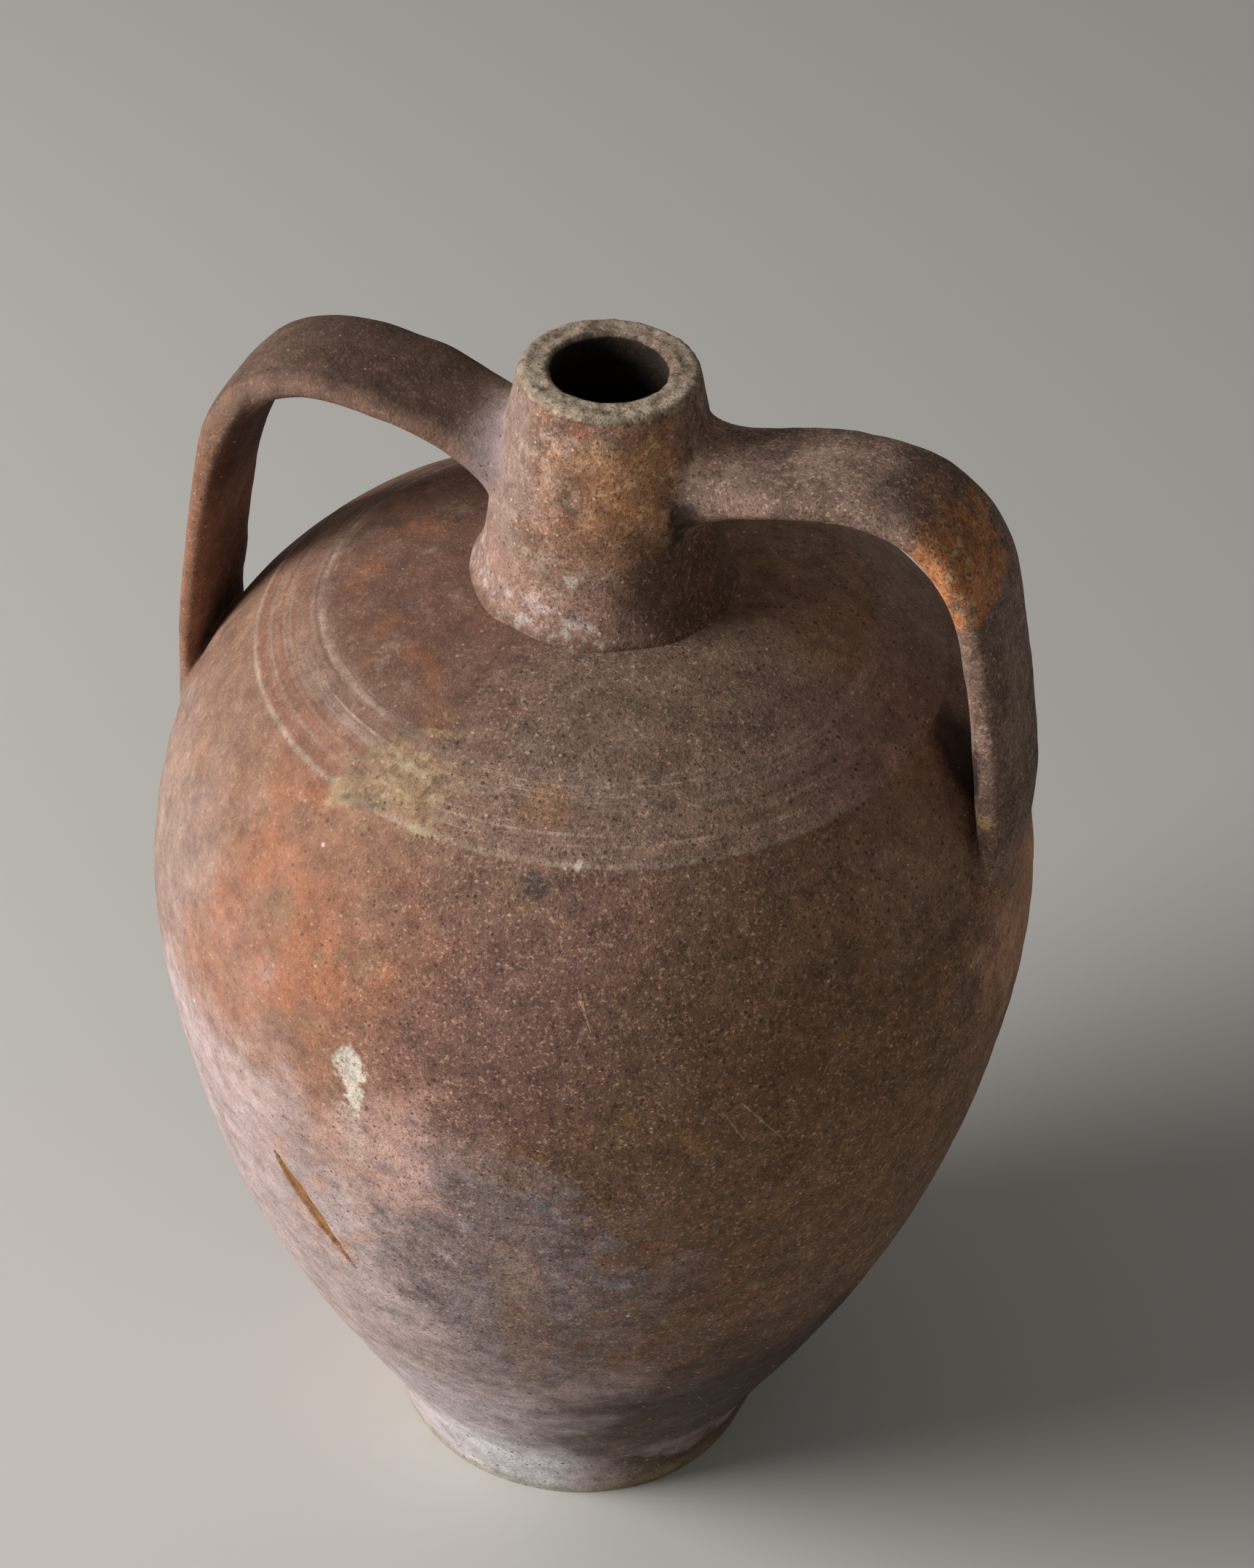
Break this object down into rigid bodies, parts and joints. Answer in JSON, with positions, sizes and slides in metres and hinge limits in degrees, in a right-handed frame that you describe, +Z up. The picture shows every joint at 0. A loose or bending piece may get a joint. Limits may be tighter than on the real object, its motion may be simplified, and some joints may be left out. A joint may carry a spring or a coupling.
{
  "type": "amphora",
  "caption": "Free-standing two-handled earthenware amphora: flat foot, full belly, low shoulder, short tapering neck with a flat lip, and strap handles.",
  "frame": {"origin": "centre of the flat underside of the foot, which is the surface the jar stands on", "axes": "+Z up along the axis the jar was thrown on; the two handles lie along +X and -X; +Y is a plain side, away from a viewer at the front"},
  "size_m": [0.3266, 0.3204, 0.4905],
  "materials": {
    "foot_clay": "unglazed, worn and lime-stained grey-white",
    "body_clay": "unglazed, matt, sandy red-brown earthenware",
    "shoulder_clay": "unglazed, matt, smoke-browned earthenware with fine turned lines",
    "neck_clay": "unglazed, matt, rough, with a lime crust on the lip",
    "handle_clay": "unglazed, matt, darkened by handling",
    "luting_clay": "unglazed, matt, wiped smooth by finger"
  },
  "bodies": {
    "root": {"base": "foot_clay", "lower_body": "body_clay", "upper_body": "body_clay", "shoulder": "shoulder_clay", "neck": "neck_clay", "neck_coil": "luting_clay", "lip": "neck_clay", "handle_left": "handle_clay", "handle_right": "handle_clay", "upper_lute_left": "luting_clay", "upper_lute_right": "luting_clay", "lower_lute_left": "luting_clay", "lower_lute_right": "luting_clay"}
  },
  "joints": []
}
